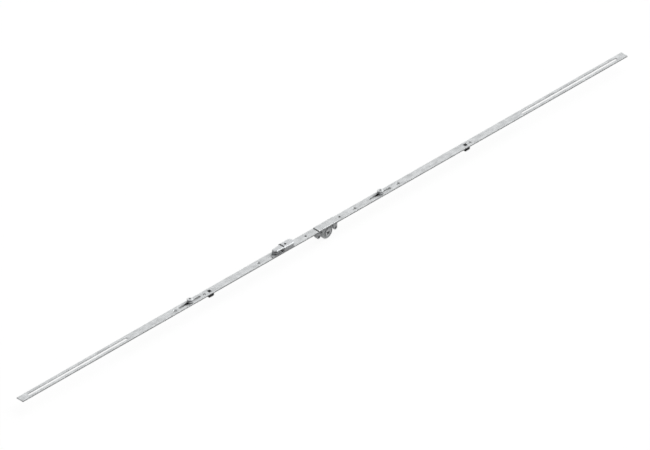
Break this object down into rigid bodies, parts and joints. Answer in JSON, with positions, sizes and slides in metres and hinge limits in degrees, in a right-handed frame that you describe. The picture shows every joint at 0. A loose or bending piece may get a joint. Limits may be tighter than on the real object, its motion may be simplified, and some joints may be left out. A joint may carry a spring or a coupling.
{
  "type": "window espagnolette gearbox",
  "caption": "Window espagnolette: long faceplate with a spindle-driven rack gearbox, sliding drive rod, roller locking cams and a sash lifter.",
  "frame": {"origin": "on the spindle axis, midway across the faceplate's width", "axes": "+X along the faceplate, +Y along the spindle axis away from the handle, +Z from the spindle towards the faceplate's outer face"},
  "size_m": [1.55, 0.016, 0.0384],
  "materials": {
    "zinc_steel": "zinc plated and passivated, satin",
    "rivet_steel": "zinc plated, satin",
    "die_cast_zinc": "die-cast zinc, as cast and tumbled, dull grey",
    "black_nylon": "black glass-filled nylon, moulded",
    "cam_steel": "turned and zinc plated, semi-gloss",
    "lifter_zinc": "die-cast zinc with silver coating, satin",
    "spring_steel": "drawn spring wire"
  },
  "bodies": {
    "faceplate_group": {"faceplate": "zinc_steel", "cover_plate": "zinc_steel", "case_front": "die_cast_zinc", "case_back": "die_cast_zinc", "case_rivets": "rivet_steel", "rod_guide_left": "black_nylon", "rod_guide_right": "black_nylon", "lifter_base": "lifter_zinc", "lifter_pivot": "rivet_steel", "lifter_spring": "spring_steel"},
    "pinion": {"pinion": "die_cast_zinc"},
    "drive_rod": {"rack": "zinc_steel", "rod_left": "zinc_steel", "rod_right": "zinc_steel", "lap_rivets": "rivet_steel", "cam_glide_left": "black_nylon", "cam_glide_right": "black_nylon"},
    "cam_pin_left": {"cam_pin_left": "cam_steel"},
    "cam_pin_right": {"cam_pin_right": "cam_steel"},
    "cam_roller_left": {"cam_roller_left": "cam_steel"},
    "cam_roller_right": {"cam_roller_right": "cam_steel"},
    "lifter_lever": {"lifter_lever": "lifter_zinc"}
  },
  "joints": [
    {"name": "spindle_turn", "type": "hinge", "parent": "faceplate_group", "child": "pinion", "pos_m": [0, 0, 0], "axis": [0, 1, 0], "range_deg": [-90, 90]},
    {"name": "rod_slide", "type": "slide", "parent": "faceplate_group", "child": "drive_rod", "axis": [1, 0, 0], "range_m": [-0.01727, 0.01727]},
    {"name": "cam_left_adjust", "type": "hinge", "parent": "drive_rod", "child": "cam_pin_left", "pos_m": [-0.347, 0, 0.015], "axis": [0, 0, 1], "range_deg": [-90, 90]},
    {"name": "cam_left_roll", "type": "hinge", "parent": "cam_pin_left", "child": "cam_roller_left", "pos_m": [-0.3462, 0, 0.019], "axis": [0, 0, 1], "continuous": true},
    {"name": "cam_right_adjust", "type": "hinge", "parent": "drive_rod", "child": "cam_pin_right", "pos_m": [0.1396, 0, 0.015], "axis": [0, 0, 1], "range_deg": [-90, 90]},
    {"name": "cam_right_roll", "type": "hinge", "parent": "cam_pin_right", "child": "cam_roller_right", "pos_m": [0.1404, 0, 0.019], "axis": [0, 0, 1], "continuous": true},
    {"name": "lever_swing", "type": "hinge", "parent": "faceplate_group", "child": "lifter_lever", "pos_m": [-0.1043, -0.0005, 0.0153], "axis": [0, 0, 1], "range_deg": [-5, 0], "stiffness_Nm_per_rad": 0.2, "springref_deg": 11.46}
  ],
  "couplings": [
    {"joint": "spindle_turn", "follows": "rod_slide", "rad_per_m": 90.909}
  ]
}
